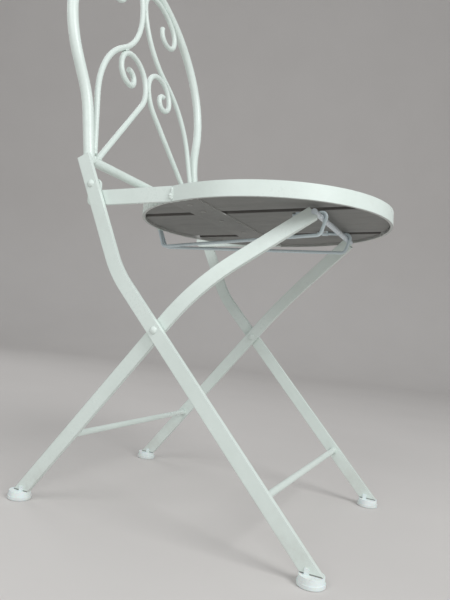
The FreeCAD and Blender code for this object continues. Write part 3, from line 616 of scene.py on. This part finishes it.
ARM_BEADS = ((176.4, 2.2), (171.4, 1.6))
ARM_BEAD_ENDS = (SEAT_TOP + 1.8, SEAT_TOP + 19.4)
KNOB_AT = (176.0, 124.0, SEAT_TOP + 9)
KNOB_TALL = 8.5
KNOB_RADIUS = 3.4
for side, sign in RIGHT_LEFT:
    beads = []
    for x, thick in ARM_BEADS:
        ahead = SEAT_MIDDLE - math.sqrt(HOOP_RADIUS ** 2 - x ** 2)
        start, end = (on_seat(sign * x, ahead, below) for below in ARM_BEAD_ENDS)
        beads.append((line_path(start, end, 26), thick, False))
    x, ahead, below = KNOB_AT
    knob = on_seat(sign * x, ahead, below)
    beads.append((line_path(knob, knob + BELOW * KNOB_TALL * MM, 12), KNOB_RADIUS, False))
    weld(f"seat_arm_weld_{side}", "seat", beads, 51 + sign)

# Seat boards: three softwood boards sawn to the hoop with gaps between them, their
# corners rounded over, painted on top and grey below, the grey being painted shade. At the gaps their lower
# edges slope back, and the bare sawn wood there is near black: painted shade of the deep gaps, with some
# dirt.
tree, given, result = shader_group(
    "Board grain",
    (
        ("Vector", "Vector", None),
        ("Pale", "Color", (0.6, 0.6, 0.6, 1)),
        ("Dark", "Color", (0.4, 0.4, 0.4, 1)),
    ),
    (("Color", "Color"), ("Height", "Float")),
)
drawn_out = vector_maths(tree, "MULTIPLY", given["Vector"], (1.0, 0.07, 1.0))
year_rings = wire(
    tree, "ShaderNodeTexWave", {"wave_type": "BANDS", "bands_direction": "X"},
    Vector=drawn_out, Scale=9.0, Distortion=7.0, Detail=2.0, Detail_Scale=1.2,
).outputs["Fac"]
fibre = noise(tree, drawn_out, 420.0, 4.0, 0.6)
stain = spread(tree, noise(tree, given["Vector"], 14.0, 5.0, 0.65), 0.3, 0.7, 0.35, 1.0)
figure = maths(tree, "ADD", maths(tree, "MULTIPLY", year_rings, 0.45), maths(tree, "MULTIPLY", fibre, 0.55))
share = maths(tree, "MULTIPLY", spread(tree, figure, 0.3, 0.75, 0.0, 0.8), stain)
tree.links.new(tint(tree, share, given["Pale"], given["Dark"]), result["Color"])
tree.links.new(fibre, result["Height"])
board_grain = tree

BOARD_DIRT = (0.33, 0.31, 0.28, 1)


def board_finish(name, upper, upper_grain, under, under_grain):
    """Painted wood, with one colour on top and another below; on the painted boards the colour below is
    painted shade.
    """
    material, tree, shader = new_finish(name)
    spots = wire(tree, "ShaderNodeTexCoord").outputs
    over = placed(tree, board_grain, Vector=spots["Object"], Pale=upper, Dark=upper_grain)
    below = placed(tree, board_grain, Vector=spots["Object"], Pale=under, Dark=under_grain)
    soil = placed(tree, handling_dirt, Vector=spots["Object"], Ground=0.05, Patches=0.22)
    # painted shade: faces that turn downward take the darker colour below
    top_side = spread(tree, along(tree, spots["Normal"], "Z"), -0.45, -0.1, 0.0, 1.0)
    colour = tint(tree, top_side, below["Color"], over["Color"])
    tree.links.new(tint(tree, soil["Dirt"], colour, BOARD_DIRT), shader.inputs["Base Color"])
    tree.links.new(spread(tree, below["Height"], 0.2, 0.8, 0.5, 0.72), shader.inputs["Roughness"])
    raise_surface(tree, shader, 0.12, 0.0003, Height=below["Height"])
    return material


# Painted shade: the grey that the boards' undersides and the strap take for the shade under the seat
UNDERSIDE_SHADE_GREY = (0.225, 0.228, 0.218, 1)
UNDERSIDE_SHADE_DARK = (0.205, 0.207, 0.198, 1)
# Painted shade of the deep gaps between boards, on their bare sawn walls, with some dirt
SLIT_SHADE_AND_DIRT = (0.072, 0.067, 0.062, 1)
SLIT_SHADE_AND_DIRT_DARK = (0.044, 0.041, 0.038, 1)
board_paint = board_finish("board_paint", MINT_WHITE, (0.69, 0.77, 0.73, 1), UNDERSIDE_SHADE_GREY, UNDERSIDE_SHADE_DARK)
slit_shade_and_dirt = board_finish("slit_shade_and_dirt", SLIT_SHADE_AND_DIRT, SLIT_SHADE_AND_DIRT_DARK, SLIT_SHADE_AND_DIRT, SLIT_SHADE_AND_DIRT_DARK)
BOARD_RADIUS = 185.4
BOARD_TOP = SEAT_TOP + 3.4
BOARD_THICK = 14.0
BOARD_UNDER = BOARD_TOP + BOARD_THICK
BOARD_ROUND = 1.3
RIM_STEPS = 30


def rim_arc(start_x, end_x, end):
    """Points along the boards' round rim at its front or rear end, from one side to another."""
    first = math.asin(start_x / BOARD_RADIUS)
    points = []
    for step in range(RIM_STEPS + 1):
        turn = first + (math.asin(end_x / BOARD_RADIUS) - first) * step / RIM_STEPS
        points.append((BOARD_RADIUS * math.sin(turn), BOARD_RADIUS * math.cos(turn) * end))
    return points


def board_outline(start_x, end_x):
    """A board's closed outline, with each corner once."""
    kept = []
    for spot in rim_arc(start_x, end_x, 1) + rim_arc(end_x, start_x, -1):
        if all(math.dist(spot, other) > 0.01 for other in kept):
            kept.append(spot)
    return kept


SLIT_MIDDLE = 87.0
SLIT_SLOPE = 2.4
SLIT_REACH = 11
boards = {"right": (-BOARD_RADIUS, -93.5), "middle": (-80.5, 80.5), "left": (93.5, BOARD_RADIUS)}
for part, (start_x, end_x) in boards.items():
    upright = board_outline(start_x, end_x)
    sloped = board_outline(
        start_x if part == "right" else start_x + SLIT_SLOPE,
        end_x if part == "left" else end_x - SLIT_SLOPE,
    )
    build = bmesh.new()
    tiers = []
    for edge_line, below in ((upright, 0), (upright, BOARD_THICK - SLIT_SLOPE), (sloped, BOARD_THICK)):
        places = [on_seat(x, SEAT_MIDDLE + ahead, BOARD_TOP + below) for x, ahead in edge_line]
        tiers.append([build.verts.new(place) for place in places])
    build.faces.new(tiers[0])
    build.faces.new(tiers[-1][::-1])
    count = len(upright)
    for over, under in zip(tiers, tiers[1:]):
        for index in range(count):
            following = (index + 1) % count
            build.faces.new((over[index], under[index], under[following], over[following]))
    bmesh.ops.recalc_face_normals(build, faces=build.faces)
    rim = [edge for edge in build.edges if sum(len(face.verts) > 4 for face in edge.link_faces) == 1]
    bmesh.ops.bevel(build, geom=rim, offset=BOARD_ROUND * MM, segments=3, profile=0.5, affect="EDGES")
    build.normal_update()
    for face in build.faces:
        from_slit = abs(abs(face.calc_center_median().x) - SLIT_MIDDLE * MM)
        # painted shade: the walls and sloped lower edges at the gaps take the near-black material
        if abs(face.normal.x) > 0.6 and from_slit < SLIT_REACH * MM:
            face.material_index = 1
    made = piece(f"seat_board_sawn_{part}", "seat", build, board_paint)
    made.data.materials.append(slit_shade_and_dirt)
    soften(made, 50)
    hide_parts(f"seat_board_{part}")

# Strap: a flat steel bar across under the boards, its ends welded to the inside
# of the hoop, grey below as painted shade like them, with painted light on its upright edges.
# Two pan-head screws a board go up through it.
STRAP_EDGE_LIGHT = (0.52, 0.53, 0.51, 1)
strap_coat = coated_steel("strap_coat", tone=UNDERSIDE_SHADE_GREY, thin=UNDERSIDE_SHADE_DARK, gloss=0.5, edge=0.0006, bare=0.7)
tree = strap_coat.node_tree
# painted light: the strap's upright faces, which sit in shade, are given a paler colour
level = along(tree, wire(tree, "ShaderNodeTexCoord").outputs["Normal"], "Z")
painted_light_share = spread(tree, maths(tree, "ABSOLUTE", level), 0.35, 0.65, 1.0, 0.0)
colour_over(strap_coat, painted_light_share, STRAP_EDGE_LIGHT)
dress(strap_coat, "seat_strap")
SCREW_ZINC = (0.40, 0.40, 0.39, 1)
SCREW_DULL = (0.30, 0.30, 0.29, 1)
screw_zinc = coated_steel("screw_zinc", tone=SCREW_ZINC, thin=SCREW_DULL, gloss=0.3, edge=0.0003, bare=0.6)
STRAP_AHEAD = 139.3
STRAP_WIDE = 44
STRAP_UNDER = SEAT_TOP + 19.44
HOOP_INSIDE = 185.5
HEAD_SKIRT = 0.5
HEAD_STEPS = 12


def screw(name, at, axis, radius=3.6, rise=2.0):
    """A domed screw head with a cross recess, standing on a surface."""
    build = bmesh.new()
    profile = [(radius * MM, -0.6 * MM), (radius * MM, HEAD_SKIRT * MM)]
    for step in range(1, HEAD_STEPS):
        turn = math.pi / 2 * step / HEAD_STEPS
        up = HEAD_SKIRT + (rise - HEAD_SKIRT) * math.sin(turn)
        profile.append((radius * math.cos(turn) * MM, up * MM))
    profile.append((0, rise * MM))
    lathe(build, profile, at, axis, 48)
    first = axis.orthogonal().normalized()
    second = axis.cross(first)
    for vertex in build.verts:
        spot = vertex.co - at
        a, b = abs(spot.dot(first)) / MM, abs(spot.dot(second)) / MM
        if spot.dot(axis) > 0.55 * MM and max(a, b) < 0.62 * radius and min(a, b) < 0.2 * radius:
            vertex.co -= axis * (rise * 0.62 * MM)
    made = piece(name, "seat", build, screw_zinc)
    soften(made, 40)


for number, x in enumerate((-150, -108, -45, 45, 108, 150), 1):
    screw(f"strap_screw_{number}", on_seat(x, STRAP_AHEAD, STRAP_UNDER), BELOW)
for side, sign in RIGHT_LEFT:
    seam = []
    for step in range(31):
        ahead = STRAP_AHEAD - STRAP_WIDE / 2 + STRAP_WIDE * step / 30
        x = math.sqrt(HOOP_INSIDE ** 2 - (ahead - SEAT_MIDDLE) ** 2)
        seam.append(on_seat(sign * (x - 0.5), ahead, STRAP_UNDER + 0.2))
    weld(f"strap_weld_{side}", "seat", [(seam, BEAD, False)], 61 + sign)

# Guide rails: two rails of bent wire that the slide rod runs in. Each is held
# to the middle board by a pressed clip with one screw, behind the rod.
# They come together at the rear and are welded under the hoop.
RAIL_TONE = (0.67, 0.77, 0.80, 1)
RAIL_THIN = (0.56, 0.65, 0.69, 1)
rail_coat = coated_steel(
    "rail_coat", tone=RAIL_TONE, thin=RAIL_THIN, gloss=0.27, edge=0.0004, bare=0.64, peel=900.0
)
dress(rail_coat, "guide_rail_right", "guide_rail_left")
LOOP_X = 78.0
LOOP_AHEAD = 302.5
HEEL_X = 2.6
HEEL_AHEAD = 7.3
HOOP_UNDER = SEAT_TOP + 21.0
TOE = math.atan2(LOOP_X - HEEL_X, LOOP_AHEAD - HEEL_AHEAD)
CLIP_BACK = 33.0
CLIP_HALF = 5
CLIP_THICK = 1.1
CLIP_HOLLOW = 2.56
CLIP_SCREW_IN = 7.2


def on_rail(sign, back, aside, below):
    """A place by a rail, in millimetres behind its front loop, to its outer side and below the hinge."""
    x = LOOP_X - back * math.sin(TOE) + aside * math.cos(TOE)
    return on_seat(sign * x, LOOP_AHEAD - back * math.cos(TOE) - aside * math.sin(TOE), below)


inside = [(-10.5, 0.02), (-3.2, 0.02), (-CLIP_HOLLOW, 0.7)]
for step in range(13):
    turn = math.pi * step / 12
    inside.append((-CLIP_HOLLOW * math.cos(turn), 2.5 + CLIP_HOLLOW * math.sin(turn)))
inside += [(CLIP_HOLLOW, 0.7), (3.2, 0.02), (6.0, 0.02)]
outside = []
for index, (x, deep) in enumerate(inside):
    before = inside[max(index - 1, 0)]
    after = inside[min(index + 1, len(inside) - 1)]
    way = Vector((after[0] - before[0], after[1] - before[1])).normalized()
    outside.append((x - way.y * CLIP_THICK, deep + way.x * CLIP_THICK))
for side, sign in RIGHT_LEFT:
    build = bmesh.new()
    lines = []
    for back in (CLIP_BACK - CLIP_HALF, CLIP_BACK + CLIP_HALF):
        for line in (inside, outside):
            places = [on_rail(sign, back, x, BOARD_UNDER + deep) for x, deep in line]
            lines.append([build.verts.new(place) for place in places])
    near, away, near_2, away_2 = lines
    for index in range(len(inside) - 1):
        build.faces.new((near[index], near[index + 1], near_2[index + 1], near_2[index]))
        build.faces.new((away[index], away_2[index], away_2[index + 1], away[index + 1]))
        build.faces.new((near[index], away[index], away[index + 1], near[index + 1]))
        build.faces.new((near_2[index], near_2[index + 1], away_2[index + 1], away_2[index]))
    for index in (0, -1):
        build.faces.new((near[index], near_2[index], away_2[index], away[index]))
    bmesh.ops.recalc_face_normals(build, faces=build.faces)
    made = piece(f"rail_clip_{side}", "seat", build, rail_coat)
    soften(made)
    round_over = made.modifiers.new("rounded_corners", "BEVEL")
    round_over.width = 0.25 * MM
    round_over.segments = 2
    hold = on_rail(sign, CLIP_BACK, -CLIP_SCREW_IN, BOARD_UNDER + CLIP_THICK)
    screw(f"clip_screw_{side}", hold, BELOW, 2.7, 1.6)
seam = []
for turn in turns(40):
    x = (HEEL_X + 2.7) * math.cos(turn)
    seam.append(on_seat(x, HEEL_AHEAD + 2.9 * math.sin(turn), HOOP_UNDER + 0.9))
weld("rail_heel_weld", "seat", [(seam, 1.2, True)], 71)

# Floor and backdrop: a plain pale sweep of matt board, flat under the chair
# and curved up behind it.
SWEEP_HALF = 16.0
SWEEP_BEND_AT = 2.6
SWEEP_BEND = 1.2
SWEEP_TALL = 6.0
PALE_BOARD = (0.66, 0.635, 0.62, 1)
DULL_BOARD = (0.62, 0.595, 0.58, 1)
profile = [(-SWEEP_HALF, 0.0), (SWEEP_BEND_AT, 0.0)]
for degrees in range(6, 91, 6):
    turn = math.radians(degrees)
    profile.append((SWEEP_BEND_AT + SWEEP_BEND * math.sin(turn), SWEEP_BEND - SWEEP_BEND * math.cos(turn)))
profile.append((SWEEP_BEND_AT + SWEEP_BEND, SWEEP_TALL))
look = Vector((0.9146, 0.4043, 0)).normalized()
aside = Vector((look.y, -look.x, 0))
sweep = bmesh.new()
rows = []
for away, up in profile:
    middle = look * away + Z * up
    rows.append([sweep.verts.new(middle + aside * over) for over in (-SWEEP_HALF, SWEEP_HALF)])
for one, two in zip(rows, rows[1:]):
    sweep.faces.new((one[0], one[1], two[1], two[0]))
bmesh.ops.recalc_face_normals(sweep, faces=sweep.faces)
floor_mesh = bpy.data.meshes.new("studio_sweep")
sweep.to_mesh(floor_mesh)
sweep.free()
floor_mesh.shade_smooth()
studio = bpy.data.objects.new("studio_sweep", floor_mesh)
bpy.context.scene.collection.objects.link(studio)
studio_board, tree, shader = new_finish("studio_board")
clouds = noise(tree, wire(tree, "ShaderNodeTexCoord").outputs["Object"], 3.0, 5.0)
tree.links.new(tint(tree, clouds, DULL_BOARD, PALE_BOARD), shader.inputs["Base Color"])
shader.inputs["Roughness"].default_value = 0.85
shader.inputs["Specular IOR Level"].default_value = 0.1
floor_mesh.materials.append(studio_board)

# Light: an even sky, a large soft lamp above and in front, one at the sitter's
# right, and a weak one from behind that picks out the rims. Where the camera
# looks past the backdrop it sees a grey like the board's.
SKY = (0.97, 0.99, 1.0, 1)
PAST_BACKDROP = (0.56, 0.545, 0.535, 1)
LAMP_WHITE = (0.98, 1.0, 1.0)
world = bpy.data.worlds.new("studio_sky")
bpy.context.scene.world = world
world.use_nodes = True
tree = world.node_tree
sky = tree.nodes["Background"]
seen = wire(tree, "ShaderNodeLightPath").outputs["Is Camera Ray"]
tree.links.new(tint(tree, seen, SKY, PAST_BACKDROP), sky.inputs["Color"])
sky.inputs["Strength"].default_value = 0.47


def soft_lamp(name, at, aim, size, watts):
    lamp = bpy.data.lights.new(name, "AREA")
    lamp.shape = "DISK"
    lamp.size = size
    lamp.energy = watts
    lamp.color = LAMP_WHITE
    made = bpy.data.objects.new(name, lamp)
    made.location = at
    made.rotation_euler = (Vector(aim) - Vector(at)).to_track_quat("-Z", "Y").to_euler()
    bpy.context.scene.collection.objects.link(made)


soft_lamp("key_lamp", (-0.9, -2.1, 2.0), (0.0, 0.0, 0.45), 1.5, 42.0)
soft_lamp("side_lamp", (-2.2, 0.3, 1.8), (0.0, 0.0, 0.4), 1.6, 15.0)
soft_lamp("rim_lamp", (0.9, 1.9, 1.8), (0.0, 0.1, 0.5), 1.6, 8.0)

# Camera: low at the sitter's right, looking a little up and across the chair
camera = bpy.data.cameras.new("camera")
camera.sensor_fit = "VERTICAL"
camera.sensor_height = 36.0
camera.lens = 34.51
viewer = bpy.data.objects.new("camera", camera)
sideways = Vector((0.39773305, -0.91105181, 0.10859564))
upward = Vector((-0.08249796, 0.08236963, 0.99318142))
backward = -Vector((0.91378471, 0.40398, 0.04239879))
turned_to = Matrix((sideways, upward, backward)).transposed().to_4x4()
viewer.matrix_world = Matrix.Translation((-0.829, -0.3616, 0.2774)) @ turned_to
bpy.context.scene.collection.objects.link(viewer)
bpy.context.scene.camera = viewer
bpy.context.scene.view_settings.view_transform = "Standard"
